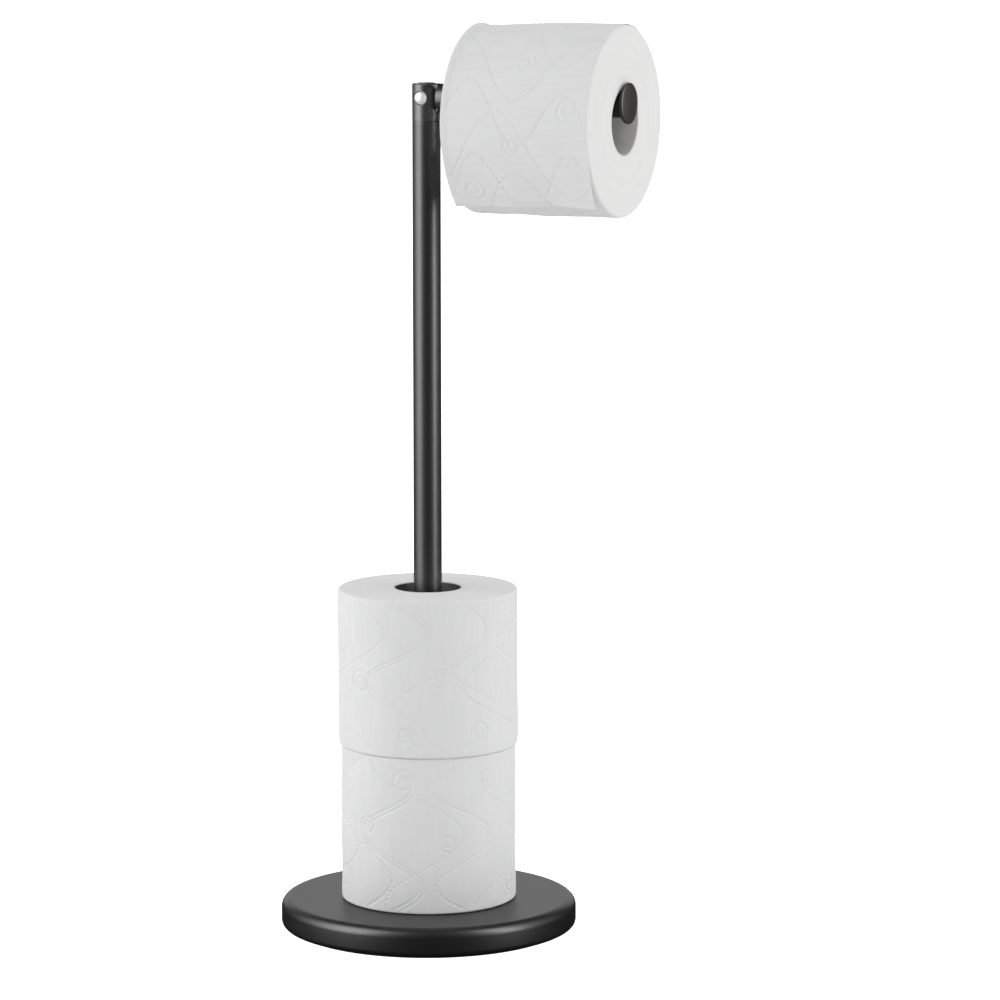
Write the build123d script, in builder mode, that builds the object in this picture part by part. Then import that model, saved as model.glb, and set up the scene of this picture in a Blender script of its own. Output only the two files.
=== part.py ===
from build123d import *
import os
from math import cos, radians, sin

# A free-standing toilet paper holder: a weighted round base, an upright post that keeps two
# reserve rolls, and an arm that carries the roll in use and folds up in line with the post.
# Millimetres, +Z up. The origin is the centre of the foot ring's underside. The arm points
# along +X while it is down, and its hinge pin lies along Y with the domed end towards -Y.

# Clearances
fit_gap = 0.05  # radial play of spigots, pins, screws and cores in their own bores
body_gap = 0.3  # air between pieces that move past each other

# Base
base_radius = 94.5
base_height = 20.0
shell_wall = 1.2
top_edge_radius = 6.0
rim_radius = 4.0  # the skirt is rolled in under the weight
rim_bottom = 1.6
foot_thickness = 2.0
foot_outer_radius = 87.5
foot_inner_radius = 74.0
plate_thickness = 2.0
plate_radius = 89.0
weight_gap = 0.1  # film of adhesive between the weight and its shell
weight_chamfer = 4.0
access_radius = 14.0  # hole in the plate and counterbore in the weight, for the bolt head

# Base fasteners
bolt_radius = 4.0
bolt_clearance_radius = 4.5
bolt_head_across_flats = 13.0
bolt_head_height = 5.3
bolt_seat = 12.0  # height of the counterbore's ceiling
bolt_length = 35.0
washer_radius = 9.0
washer_thickness = 1.6
lock_washer_radius = 7.0
lock_washer_thickness = 2.0
lock_washer_slit = 1.2
screw_count = 3
screw_circle = 55.0
screw_head_radius = 3.9
screw_radius = 1.9
screw_length = 12.0
screw_recess_width = 0.9
screw_recess_depth = 1.0

# Post and arm tubes
tube_radius = 9.0
tube_wall = 1.2
spigot_length = 18.0
insert_length = 30.0
insert_thread_depth = 26.0

# Hinge
pivot_height = 532.0
head_length = 23.5  # the part of the head that shows above the post tube
head_edge_radius = 1.0
slot_half_width = 4.0
tongue_half_width = 3.5
washer_sheet = 0.4  # thickness of each friction washer
friction_washer_radius = 7.0
tongue_end_radius = 8.2
stop_gap = 0.1  # the tongue rests on the slot's floor while the arm is down
pin_radius = 2.5
pin_head_radius = 4.0
pin_head_edge = 0.9
pin_head_dome = 1.8
pin_far_end = 6.9
pin_bore_radius = 1.5
pin_bore_end = -2.0
spot_face = 7.9  # distance of each pin seat from the arm's plane
spot_face_radius = 4.6
hinge_screw_head_radius = 3.8
hinge_screw_head_edge = 0.7
hinge_screw_head_dome = 1.2
hinge_screw_tip = -1.5

# Arm
shoulder_start = tube_radius + body_gap
shoulder_end = 22.0
shoulder_chamfer = 1.0
arm_tube_end = 136.0
knob_radius = 12.75
knob_front = 139.3
knob_dome = 0.8
knob_edge_radius = 1.0

# Rolls
roll_width = 100.0
core_radius = 20.5  # inside
core_wall = 0.8
paper_edge_radius = 0.8
lower_roll_radius = 56.0
upper_roll_radius = 57.5
arm_roll_radius = 60.0
arm_roll_start = 35.0

# Loose end of the roll in use, as angles about the roll from +Y, rising over the top
tail_thickness = 0.4
tail_start_angle = 78.0
tail_leave_angle = 200.0
tail_free_radius = 86.0
tail_free_length = 42.0

# Worked out from the sizes above
tube_bore = tube_radius - tube_wall
spigot_radius = tube_bore - fit_gap
skirt_bore = base_radius - shell_wall
shell_flat_radius = base_radius - top_edge_radius
shell_arc_height = base_height - top_edge_radius
rim_arc_radius = base_radius - rim_radius
rim_arc_height = rim_bottom + rim_radius
weight_bottom = foot_thickness + plate_thickness
weight_radius = skirt_bore - weight_gap
head_top = pivot_height + tube_radius
head_bottom = head_top - head_length
core_outer_radius = core_radius + core_wall
arm_roll_drop = core_radius - tube_radius - body_gap
arm_roll_height = pivot_height - arm_roll_drop

# Planes: along the arm with its axis as the origin, and along the hinge pin
arm_side = Plane(origin=(0, 0, pivot_height), x_dir=(1, 0, 0), z_dir=(0, -1, 0))
arm_section = Plane(origin=(0, 0, pivot_height), x_dir=(0, 1, 0), z_dir=(1, 0, 0))
arm_axis = Axis((0, 0, pivot_height), (1, 0, 0))
pin_axis = Axis((0, 0, pivot_height), (0, 1, 0))

os.makedirs("parts", exist_ok=True)


def save(piece, name):
    """Label a finished piece with its name and write it to its own file."""
    piece.part.label = name
    export_step(piece.part, f"parts/{name}.step")


# ---- Base ----

# Pressed steel shell: flat top, rounded shoulder, short skirt and a rim rolled inwards.
with BuildPart() as base_shell:
    with BuildSketch(Plane.XZ):
        with BuildLine():
            Line((bolt_clearance_radius, base_height), (shell_flat_radius, base_height))
            CenterArc((shell_flat_radius, shell_arc_height), top_edge_radius, 90, -90)
            Line((base_radius, shell_arc_height), (base_radius, rim_arc_height))
            CenterArc((rim_arc_radius, rim_arc_height), rim_radius, 0, -90)
            Line((rim_arc_radius, rim_bottom), (rim_arc_radius, rim_bottom + shell_wall))
            CenterArc((rim_arc_radius, rim_arc_height), rim_radius - shell_wall, -90, 90)
            Line((skirt_bore, rim_arc_height), (skirt_bore, shell_arc_height))
            CenterArc((shell_flat_radius, shell_arc_height), top_edge_radius - shell_wall, 0, 90)
            Line(
                (shell_flat_radius, base_height - shell_wall),
                (bolt_clearance_radius, base_height - shell_wall),
            )
            Line(
                (bolt_clearance_radius, base_height - shell_wall),
                (bolt_clearance_radius, base_height),
            )
        make_face()
    revolve(axis=Axis.Z)
save(base_shell, "base_shell")

# Cast-iron weight that fills the shell, with a counterbore for the bolt head.
with BuildPart() as base_weight:
    with BuildSketch(Plane.XZ):
        with BuildLine():
            Polyline(
                (shell_flat_radius, base_height - shell_wall - weight_gap),
                (bolt_clearance_radius, base_height - shell_wall - weight_gap),
                (bolt_clearance_radius, bolt_seat),
                (access_radius, bolt_seat),
                (access_radius, weight_bottom),
                (weight_radius - weight_chamfer, weight_bottom),
                (weight_radius, weight_bottom + weight_chamfer),
                (weight_radius, shell_arc_height),
            )
            CenterArc(
                (shell_flat_radius, shell_arc_height),
                top_edge_radius - shell_wall - weight_gap,
                0,
                90,
            )
        make_face()
    revolve(axis=Axis.Z)
    with BuildSketch(Plane.XY.offset(weight_bottom)):
        with PolarLocations(screw_circle, screw_count):
            Circle(screw_radius + fit_gap)
    extrude(amount=screw_length, mode=Mode.SUBTRACT)
save(base_weight, "base_weight")

# Closing plate under the weight, with three countersunk holes.
with BuildPart() as base_plate:
    with BuildSketch(Plane.XY.offset(foot_thickness)):
        Circle(plate_radius)
        Circle(access_radius, mode=Mode.SUBTRACT)
    extrude(amount=plate_thickness)
    with Locations(Plane.XY.offset(foot_thickness)):
        with PolarLocations(screw_circle, screw_count):
            Cone(
                screw_head_radius + fit_gap,
                screw_radius + fit_gap,
                plate_thickness,
                align=(Align.CENTER, Align.CENTER, Align.MIN),
                mode=Mode.SUBTRACT,
            )
save(base_plate, "base_plate")

# Three countersunk screws with cross recesses that hold the plate to the weight.
with BuildPart() as plate_screws:
    with Locations(Plane.XY.offset(foot_thickness)):
        with PolarLocations(screw_circle, screw_count):
            Cone(
                screw_head_radius,
                screw_radius,
                plate_thickness,
                align=(Align.CENTER, Align.CENTER, Align.MIN),
            )
            Cylinder(
                screw_radius, screw_length, align=(Align.CENTER, Align.CENTER, Align.MIN)
            )
            for turn in (0, 90):
                Box(
                    2 * screw_radius + screw_recess_width,
                    screw_recess_width,
                    2 * screw_recess_depth,
                    rotation=(0, 0, turn),
                    mode=Mode.SUBTRACT,
                )
save(plate_screws, "plate_screws")

# Soft non-slip ring that the holder stands on.
with BuildPart() as foot_ring:
    with BuildSketch():
        Circle(foot_outer_radius)
        Circle(foot_inner_radius, mode=Mode.SUBTRACT)
    extrude(amount=foot_thickness)
save(foot_ring, "foot_ring")

# Hexagon bolt that pulls the post down onto the base, with its two washers.
washer_bottom = bolt_seat - washer_thickness
head_seat = washer_bottom - lock_washer_thickness

with BuildPart() as bolt_washer:
    with BuildSketch(Plane.XY.offset(washer_bottom)):
        Circle(washer_radius)
        Circle(bolt_radius + fit_gap, mode=Mode.SUBTRACT)
    extrude(amount=washer_thickness)
save(bolt_washer, "bolt_washer")

with BuildPart() as lock_washer:
    with BuildSketch(Plane.XY.offset(head_seat)):
        Circle(lock_washer_radius)
        Circle(bolt_radius + fit_gap, mode=Mode.SUBTRACT)
        with Locations((lock_washer_radius, 0)):
            Rectangle(2 * lock_washer_radius, lock_washer_slit, mode=Mode.SUBTRACT)
    extrude(amount=lock_washer_thickness)
save(lock_washer, "lock_washer")

with BuildPart() as post_bolt:
    with BuildSketch(Plane.XY.offset(head_seat)):
        RegularPolygon(bolt_head_across_flats / 2, 6, major_radius=False)
    extrude(amount=-bolt_head_height)
    with BuildSketch(Plane.XY.offset(head_seat)):
        Circle(bolt_radius)
    extrude(amount=bolt_length)
save(post_bolt, "post_bolt")

# ---- Post ----

# Threaded plug in the foot of the post tube.
with BuildPart() as post_insert:
    with BuildSketch(Plane.XY.offset(base_height)):
        Circle(spigot_radius)
    extrude(amount=insert_length)
    with BuildSketch(Plane.XY.offset(base_height)):
        Circle(bolt_radius + fit_gap)
    extrude(amount=insert_thread_depth, mode=Mode.SUBTRACT)
save(post_insert, "post_insert")

with BuildPart() as post_tube:
    with BuildSketch(Plane.XY.offset(base_height)):
        Circle(tube_radius)
        Circle(tube_bore, mode=Mode.SUBTRACT)
    extrude(amount=head_bottom - base_height)
save(post_tube, "post_tube")

# Forked head: a sleeve as thick as the post, slotted right through along X for the arm's
# tongue. Its quarter towards the arm is rounded about the pin, so that the arm's shoulder
# clears it, and the square corner behind stops the arm upright.
with BuildPart() as hinge_head:
    with BuildSketch(Plane.XY.offset(head_bottom)):
        Circle(tube_radius)
    extrude(amount=head_length)
    fillet(hinge_head.edges().sort_by(Axis.Z)[-1], head_edge_radius)
    with BuildSketch(Plane.XY.offset(head_bottom)):
        Circle(spigot_radius)
    extrude(amount=-spigot_length)
    with BuildSketch(arm_side):
        with Locations((0, -tube_radius - stop_gap)):
            Rectangle(4 * tube_radius, 4 * tube_radius, align=(Align.CENTER, Align.MIN))
    extrude(amount=slot_half_width, both=True, mode=Mode.SUBTRACT)
    with BuildSketch(arm_side):
        Rectangle(2 * tube_radius, 2 * tube_radius, align=(Align.MIN, Align.MIN))
        Circle(tube_radius, mode=Mode.SUBTRACT)
    extrude(amount=2 * tube_radius, both=True, mode=Mode.SUBTRACT)
    with BuildSketch(arm_side):
        Circle(pin_radius + fit_gap)
    extrude(amount=tube_radius, both=True, mode=Mode.SUBTRACT)
    for side in (1, -1):
        with BuildSketch(arm_side.offset(side * spot_face)):
            Circle(spot_face_radius)
        extrude(amount=side * tube_radius, mode=Mode.SUBTRACT)
save(hinge_head, "hinge_head")

# ---- Hinge ----

# Chrome barrel pin with a domed head, bored and threaded from its far end. The profile is
# drawn as distance along Y against radius.
with BuildPart() as hinge_pin:
    with BuildSketch(arm_section):
        with BuildLine():
            TangentArc(
                (-spot_face - pin_head_edge - pin_head_dome, 0),
                (-spot_face - pin_head_edge, pin_head_radius),
                tangent=(0, 1),
            )
            Polyline(
                (-spot_face - pin_head_edge, pin_head_radius),
                (-spot_face, pin_head_radius),
                (-spot_face, pin_radius),
                (pin_far_end, pin_radius),
                (pin_far_end, pin_bore_radius),
                (pin_bore_end, pin_bore_radius),
                (pin_bore_end, 0),
                (-spot_face - pin_head_edge - pin_head_dome, 0),
            )
        make_face()
    revolve(axis=pin_axis)
save(hinge_pin, "hinge_pin")

# Screw that closes the pin from the other side, with a cross recess.
with BuildPart() as hinge_screw:
    with BuildSketch(arm_section):
        with BuildLine():
            TangentArc(
                (spot_face + hinge_screw_head_edge + hinge_screw_head_dome, 0),
                (spot_face + hinge_screw_head_edge, hinge_screw_head_radius),
                tangent=(0, 1),
            )
            Polyline(
                (spot_face + hinge_screw_head_edge, hinge_screw_head_radius),
                (spot_face, hinge_screw_head_radius),
                (spot_face, pin_bore_radius - fit_gap),
                (hinge_screw_tip, pin_bore_radius - fit_gap),
                (hinge_screw_tip, 0),
                (spot_face + hinge_screw_head_edge + hinge_screw_head_dome, 0),
            )
        make_face()
    revolve(axis=pin_axis)
    with BuildSketch(arm_side.offset(-spot_face - hinge_screw_head_edge)):
        Rectangle(2 * screw_radius + screw_recess_width, screw_recess_width)
        Rectangle(screw_recess_width, 2 * screw_radius + screw_recess_width)
    extrude(amount=-2 * hinge_screw_head_dome, mode=Mode.SUBTRACT)
save(hinge_screw, "hinge_screw")

# Two nylon washers between the arm's tongue and the cheeks of the head.
with BuildPart() as friction_washers:
    for side in (1, -1):
        with BuildSketch(arm_side.offset(side * slot_half_width)):
            Circle(friction_washer_radius)
            Circle(pin_radius + fit_gap, mode=Mode.SUBTRACT)
        extrude(amount=-side * washer_sheet)
save(friction_washers, "friction_washers")

# ---- Arm ----

# Tongue, shoulder and spigot in one. The tongue is rounded behind the pin and square in
# front of it, where its underside rests on the slot's floor and holds the arm level.
with BuildPart() as arm_knuckle:
    with BuildSketch(arm_side):
        Circle(tongue_end_radius)
        Rectangle(shoulder_start, 2 * tube_radius, align=(Align.MIN, Align.CENTER))
    extrude(amount=tongue_half_width, both=True)
    with BuildSketch(arm_section.offset(-tube_radius)):
        Circle(tube_radius)
    extrude(amount=3 * tube_radius, mode=Mode.INTERSECT)
    with BuildSketch(arm_side):
        Polygon(
            (shoulder_start, 0),
            (shoulder_start, tube_radius - shoulder_chamfer),
            (shoulder_start + shoulder_chamfer, tube_radius),
            (shoulder_end, tube_radius),
            (shoulder_end, spigot_radius),
            (shoulder_end + spigot_length, spigot_radius),
            (shoulder_end + spigot_length, 0),
            align=None,
        )
    revolve(axis=arm_axis)
    with BuildSketch(arm_side):
        Circle(pin_radius + fit_gap)
    extrude(amount=tube_radius, both=True, mode=Mode.SUBTRACT)
save(arm_knuckle, "arm_knuckle")

with BuildPart() as arm_tube:
    with BuildSketch(arm_section.offset(shoulder_end)):
        Circle(tube_radius)
        Circle(tube_bore, mode=Mode.SUBTRACT)
    extrude(amount=arm_tube_end - shoulder_end)
save(arm_tube, "arm_tube")

# Flat knob with a slightly domed face, plugged into the end of the arm tube.
with BuildPart() as arm_knob:
    with BuildSketch(arm_side) as knob_profile:
        with BuildLine():
            Polyline(
                (knob_front, 0),
                (arm_tube_end - spigot_length, 0),
                (arm_tube_end - spigot_length, spigot_radius),
                (arm_tube_end, spigot_radius),
                (arm_tube_end, knob_radius),
                (knob_front - knob_dome, knob_radius),
            )
            TangentArc((knob_front, 0), (knob_front - knob_dome, knob_radius), tangent=(0, 1))
        make_face()
        fillet(knob_profile.vertices().group_by(Axis.Y)[-1], knob_edge_radius)
    revolve(axis=arm_axis)
save(arm_knob, "arm_knob")

# ---- Rolls ----

# Each roll stands or hangs on its own plane: a cardboard core and the paper wound on it.
lower_roll_plane = Plane.XY.offset(base_height + body_gap)
upper_roll_plane = lower_roll_plane.offset(roll_width + body_gap)
arm_roll_plane = Plane(
    origin=(arm_roll_start, 0, arm_roll_height), x_dir=(0, 1, 0), z_dir=(1, 0, 0)
)
rolls = {
    "lower_roll": (lower_roll_plane, lower_roll_radius),
    "upper_roll": (upper_roll_plane, upper_roll_radius),
    "arm_roll": (arm_roll_plane, arm_roll_radius),
}
for roll_name, (roll_plane, roll_radius) in rolls.items():
    with BuildPart() as roll_core:
        with BuildSketch(roll_plane):
            Circle(core_outer_radius)
            Circle(core_radius, mode=Mode.SUBTRACT)
        extrude(amount=roll_width)
    save(roll_core, f"{roll_name}_core")

    with BuildPart() as roll_paper:
        with BuildSketch(roll_plane):
            Circle(roll_radius)
        extrude(amount=roll_width)
        fillet(roll_paper.edges().filter_by(GeomType.CIRCLE), paper_edge_radius)
        with BuildSketch(roll_plane):
            Circle(core_outer_radius + fit_gap)
        extrude(amount=roll_width, mode=Mode.SUBTRACT)
    save(roll_paper, f"{roll_name}_paper")

# Loose end of the roll in use: it lies on the roll over the top and down the front, then
# leaves it in a wider curve.
tail_inner_radius = arm_roll_radius + fit_gap
tail_outer_radius = tail_inner_radius + tail_thickness
tail_offset = tail_inner_radius - tail_free_radius
tail_centre = (
    tail_offset * cos(radians(tail_leave_angle)),
    tail_offset * sin(radians(tail_leave_angle)),
)
tail_wrap = tail_leave_angle - tail_start_angle
tail_sweep = tail_free_length / radians(1) / tail_free_radius
with BuildPart() as arm_roll_tail:
    with BuildSketch(arm_roll_plane):
        with BuildLine():
            outer_wrap = CenterArc((0, 0), tail_outer_radius, tail_start_angle, tail_wrap)
            outer_free = CenterArc(
                tail_centre, tail_free_radius + tail_thickness, tail_leave_angle, tail_sweep
            )
            inner_free = CenterArc(tail_centre, tail_free_radius, tail_leave_angle, tail_sweep)
            inner_wrap = CenterArc((0, 0), tail_inner_radius, tail_start_angle, tail_wrap)
            Line(outer_wrap @ 0, inner_wrap @ 0)
            Line(outer_free @ 1, inner_free @ 1)
        make_face()
    extrude(amount=roll_width)
save(arm_roll_tail, "arm_roll_tail")
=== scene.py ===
"""Looks of a free-standing toilet paper holder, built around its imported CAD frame.

Metres, +Z up, the same frame as the CAD: the origin is on the floor under the post, the arm
points along +X and the hinge pin's domed end looks towards -Y.
"""

import logging
import math
from dataclasses import dataclass
from enum import Enum
from typing import Any, Callable

import bpy
import numpy as np
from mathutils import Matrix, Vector


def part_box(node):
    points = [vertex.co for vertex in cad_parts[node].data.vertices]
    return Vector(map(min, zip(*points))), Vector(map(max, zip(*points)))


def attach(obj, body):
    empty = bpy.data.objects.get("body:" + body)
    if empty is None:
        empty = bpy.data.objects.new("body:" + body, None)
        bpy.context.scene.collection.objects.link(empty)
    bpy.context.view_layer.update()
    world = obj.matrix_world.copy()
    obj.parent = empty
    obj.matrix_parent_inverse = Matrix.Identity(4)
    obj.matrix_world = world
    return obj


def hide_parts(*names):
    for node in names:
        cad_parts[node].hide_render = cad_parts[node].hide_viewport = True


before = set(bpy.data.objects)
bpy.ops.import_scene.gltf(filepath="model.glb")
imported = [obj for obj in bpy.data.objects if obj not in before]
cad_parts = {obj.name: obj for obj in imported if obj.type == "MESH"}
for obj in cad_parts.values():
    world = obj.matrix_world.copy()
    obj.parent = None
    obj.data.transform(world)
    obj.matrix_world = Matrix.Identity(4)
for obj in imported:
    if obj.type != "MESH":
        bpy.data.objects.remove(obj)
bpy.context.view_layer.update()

MM = 0.001
MERGE = 1e-6
ON_RING = 1e-5
log = logging.getLogger("holder")

Socket = bpy.types.NodeSocket
Outputs = bpy.types.NodeOutputs
Varied = tuple[Socket, Socket, Socket]


# ---------------------------------------------------------------- shader nodes

BROAD_SHARE = 0.2
DRIFT_SCALE = 14.0
BAND_SCALE = 260.0


class Wiring:
    """Adds nodes to one shader tree and links them."""

    def __init__(self, tree: bpy.types.NodeTree) -> None:
        """Keep the tree that the nodes go into."""
        self.tree = tree

    def add(self, kind: str, inputs: dict[Any, Any] | None = None, **settings: Any) -> bpy.types.Node:
        """Add a node.

        Args:
            kind: The node's type without its "ShaderNode" prefix.
            inputs: Socket names or numbers against a value, or against the socket to link from.
            settings: Properties of the node itself.

        Returns:
            The new node.
        """
        node = self.tree.nodes.new("ShaderNode" + kind)
        for name, value in settings.items():
            setattr(node, name, value)
        for name, value in (inputs or {}).items():
            if isinstance(value, Socket):
                self.tree.links.new(value, node.inputs[name])
            else:
                node.inputs[name].default_value = value
        return node

    def math(self, operation: str, *values: Any) -> Socket:
        """Add a Math node and return its result."""
        return self.add("Math", dict(enumerate(values)), operation=operation).outputs[0]

    def span(self, value: Any, low: float, high: float) -> Socket:
        """Map a value from 0..1 to low..high and return the result."""
        node = self.add("MapRange", {"Value": value, "To Min": low, "To Max": high})
        return node.outputs["Result"]


def node_group(
    name: str,
    inputs: dict[str, float | None],
    outputs: tuple[str, ...],
    build: Callable[[Wiring, Outputs], dict[str, Socket]],
) -> bpy.types.NodeTree:
    """Make a shader node group once, and return the same one after that.

    Args:
        name: The group's name.
        inputs: Input names against their defaults, with None for a vector.
        outputs: Names of the outputs, which are all numbers.
        build: Adds the group's nodes and returns each output's source socket.

    Returns:
        The group.
    """
    if name in bpy.data.node_groups:
        return bpy.data.node_groups[name]
    tree = bpy.data.node_groups.new(name, "ShaderNodeTree")
    for label, default in inputs.items():
        kind = "NodeSocketVector" if default is None else "NodeSocketFloat"
        socket = tree.interface.new_socket(name=label, in_out="INPUT", socket_type=kind)
        if default is not None:
            socket.default_value = default
    for label in outputs:
        tree.interface.new_socket(name=label, in_out="OUTPUT", socket_type="NodeSocketFloat")
    entry = tree.nodes.new("NodeGroupInput")
    exit_node = tree.nodes.new("NodeGroupOutput")
    for label, socket in build(Wiring(tree), entry.outputs).items():
        tree.links.new(socket, exit_node.inputs[label])
    return tree


def mottle_group() -> bpy.types.NodeTree:
    """Return the group that gives slow cloudy variation and fine grain.

    Returns:
        The group, shared by every finish that uses it.
    """

    def build(wiring: Wiring, given: Outputs) -> dict[str, Socket]:
        """Add a coarse noise and a fine one.

        Args:
            wiring: The group's wiring.
            given: The group's inputs.

        Returns:
            Each output's name against its source socket.
        """
        cloud = wiring.add(
            "TexNoise", {"Vector": given["Vector"], "Scale": given["Cloud Scale"], "Detail": 3.0}
        )
        grain = wiring.add(
            "TexNoise", {"Vector": given["Vector"], "Scale": given["Grain Scale"], "Detail": 2.0}
        )
        return {"Cloud": cloud.outputs["Fac"], "Grain": grain.outputs["Fac"]}

    return node_group(
        "mottle",
        {"Vector": None, "Cloud Scale": 20.0, "Grain Scale": 900.0},
        ("Cloud", "Grain"),
        build,
    )


def streak_group() -> bpy.types.NodeTree:
    """Return the group that gives streaks along Z, as in crepe, drawn metal or board.

    Returns:
        The group, shared by every finish that uses it.
    """

    def build(wiring: Wiring, given: Outputs) -> dict[str, Socket]:
        """Stretch two noises along Z.

        Args:
            wiring: The group's wiring.
            given: The group's inputs.

        Returns:
            Each output's name against its source socket.
        """
        squeeze = wiring.add("CombineXYZ", {"X": 1.0, "Y": 1.0, "Z": given["Stretch"]})
        drawn = wiring.add(
            "VectorMath", {0: given["Vector"], 1: squeeze.outputs[0]}, operation="MULTIPLY"
        )
        fine = wiring.add(
            "TexNoise", {"Vector": drawn.outputs[0], "Scale": given["Scale"], "Detail": 4.0}
        )
        broad = wiring.add(
            "TexNoise",
            {
                "Vector": drawn.outputs[0],
                "Scale": wiring.math("MULTIPLY", given["Scale"], BROAD_SHARE),
                "Detail": 2.0,
            },
        )
        return {"Fine": fine.outputs["Fac"], "Broad": broad.outputs["Fac"]}

    return node_group(
        "streaks", {"Vector": None, "Scale": 1500.0, "Stretch": 0.15}, ("Fine", "Broad"), build
    )


def layers_group() -> bpy.types.NodeTree:
    """Return the group that gives the edges of layers wound about Z.

    Returns:
        The group, shared by every finish that uses it.
    """

    def build(wiring: Wiring, given: Outputs) -> dict[str, Socket]:
        """Run noise along the radius, drifting slowly with the angle.

        Args:
            wiring: The group's wiring.
            given: The group's inputs.

        Returns:
            Each output's name against its source socket.
        """
        parts = wiring.add("SeparateXYZ", {0: given["Vector"]}).outputs
        flat = wiring.add("CombineXYZ", {"X": parts["X"], "Y": parts["Y"], "Z": 0.0})
        radius = wiring.add("VectorMath", {0: flat.outputs[0]}, operation="LENGTH").outputs["Value"]
        drift = wiring.add("TexNoise", {"Vector": given["Vector"], "Scale": DRIFT_SCALE, "Detail": 2.0})
        wander = wiring.math("MULTIPLY", drift.outputs["Fac"], given["Wander"])
        along = wiring.add("CombineXYZ", {"X": wiring.math("ADD", radius, wander), "Y": 0.0})
        plies = wiring.add(
            "TexNoise", {"Vector": along.outputs[0], "Scale": given["Scale"], "Detail": 3.0}
        )
        bands = wiring.add(
            "TexNoise", {"Vector": along.outputs[0], "Scale": BAND_SCALE, "Detail": 2.0}
        )
        return {"Plies": plies.outputs["Fac"], "Bands": bands.outputs["Fac"]}

    return node_group(
        "wound_layers",
        {"Vector": None, "Scale": 2600.0, "Wander": 0.004},
        ("Plies", "Bands"),
        build,
    )


# ---------------------------------------------------------------- finishes


class Axis(Enum):
    """The row axis that a wound or drawn pattern runs about, as a turn that lays it on Z."""

    X = (0.0, -math.pi / 2, 0.0)
    Z = (0.0, 0.0, 0.0)

    @property
    def index(self) -> int:
        """Return the axis's number in a vector."""
        return "XYZ".index(self.name)


@dataclass(frozen=True)
class Pattern:
    """Where a pattern about an axis sits: the axis and a point on it."""

    axis: Axis = Axis.Z
    centre: tuple[float, float, float] = (0.0, 0.0, 0.0)

    def vector(self, wiring: Wiring) -> Socket:
        """Add the nodes that place the pattern.

        Args:
            wiring: The material's wiring.

        Returns:
            Object coordinates measured from the centre, with the axis along Z.
        """
        place = wiring.add("TexCoord").outputs["Object"]
        moved = wiring.add("VectorMath", {0: place, 1: self.centre}, operation="SUBTRACT")
        if self.axis is Axis.Z:
            return moved.outputs[0]
        turned = wiring.add("Mapping", {"Vector": moved.outputs[0], "Rotation": self.axis.value})
        return turned.outputs[0]


@dataclass(frozen=True)
class Finish:
    """A surface finish: two close colours, a roughness range and a fine relief."""

    name: str
    dark: tuple[float, float, float]
    light: tuple[float, float, float]
    rough_low: float
    rough_high: float
    relief: float
    relief_depth: float = 0.1 * MM
    cloud_scale: float = 20.0
    grain_scale: float = 900.0
    metallic: float = 0.0
    ior: float = 1.5
    sheen: float = 0.0
    pattern: Pattern = Pattern()

    def material(self) -> bpy.types.Material:
        """Make the finish's material on first use.

        Returns:
            The material, which every piece with this finish shares.
        """
        if self.name in bpy.data.materials:
            return bpy.data.materials[self.name]
        made = bpy.data.materials.new(self.name)
        made.use_nodes = True
        wiring = Wiring(made.node_tree)
        shader = made.node_tree.nodes["Principled BSDF"]
        shader.inputs["Metallic"].default_value = self.metallic
        shader.inputs["IOR"].default_value = self.ior
        shader.inputs["Sheen Weight"].default_value = self.sheen
        tone, roughness, height = self.surface(wiring, self.pattern.vector(wiring))
        colour = wiring.add(
            "Mix",
            {"Factor": tone, "A": (*self.dark, 1.0), "B": (*self.light, 1.0)},
            data_type="RGBA",
        )
        made.node_tree.links.new(colour.outputs["Result"], shader.inputs["Base Color"])
        made.node_tree.links.new(
            wiring.span(roughness, self.rough_low, self.rough_high), shader.inputs["Roughness"]
        )
        bump = wiring.add(
            "Bump",
            {"Height": height, "Strength": self.relief, "Distance": self.relief_depth},
        )
        made.node_tree.links.new(bump.outputs["Normal"], shader.inputs["Normal"])
        return made

    def surface(self, wiring: Wiring, vector: Socket) -> Varied:
        """Add the nodes that vary over the surface.

        Args:
            wiring: The material's wiring.
            vector: Coordinates of the pattern.

        Returns:
            The colour's mix, the roughness's mix and the relief's height.
        """
        mottle = self.mottle(wiring, vector)
        return mottle["Cloud"], mottle["Cloud"], mottle["Grain"]

    def mottle(self, wiring: Wiring, vector: Socket) -> Outputs:
        """Add the mottle group at the finish's scales and return its outputs."""
        scales = {"Cloud Scale": self.cloud_scale, "Grain Scale": self.grain_scale}
        return wiring.add("Group", {"Vector": vector, **scales}, node_tree=mottle_group()).outputs


@dataclass(frozen=True)
class DrawnFinish(Finish):
    """A finish with streaks along its axis: crepe paper, drawn or turned metal, board."""

    stretch: float = 0.15

    def surface(self, wiring: Wiring, vector: Socket) -> Varied:
        """Add streaks.

        Args:
            wiring: The material's wiring.
            vector: Coordinates of the pattern.

        Returns:
            The colour's mix, the roughness's mix and the relief's height.
        """
        inputs = {"Vector": vector, "Scale": self.grain_scale, "Stretch": self.stretch}
        streaks = wiring.add("Group", inputs, node_tree=streak_group()).outputs
        return streaks["Broad"], streaks["Fine"], streaks["Fine"]


@dataclass(frozen=True)
class WoundFinish(Finish):
    """The cut end of a wound roll, with the edges of its layers."""

    def surface(self, wiring: Wiring, vector: Socket) -> Varied:
        """Add the edges of the layers.

        Args:
            wiring: The material's wiring.
            vector: Coordinates of the pattern.

        Returns:
            The colour's mix, the roughness's mix and the relief's height.
        """
        inputs = {"Vector": vector, "Scale": self.grain_scale}
        layers = wiring.add("Group", inputs, node_tree=layers_group()).outputs
        return layers["Bands"], layers["Plies"], layers["Plies"]


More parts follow.
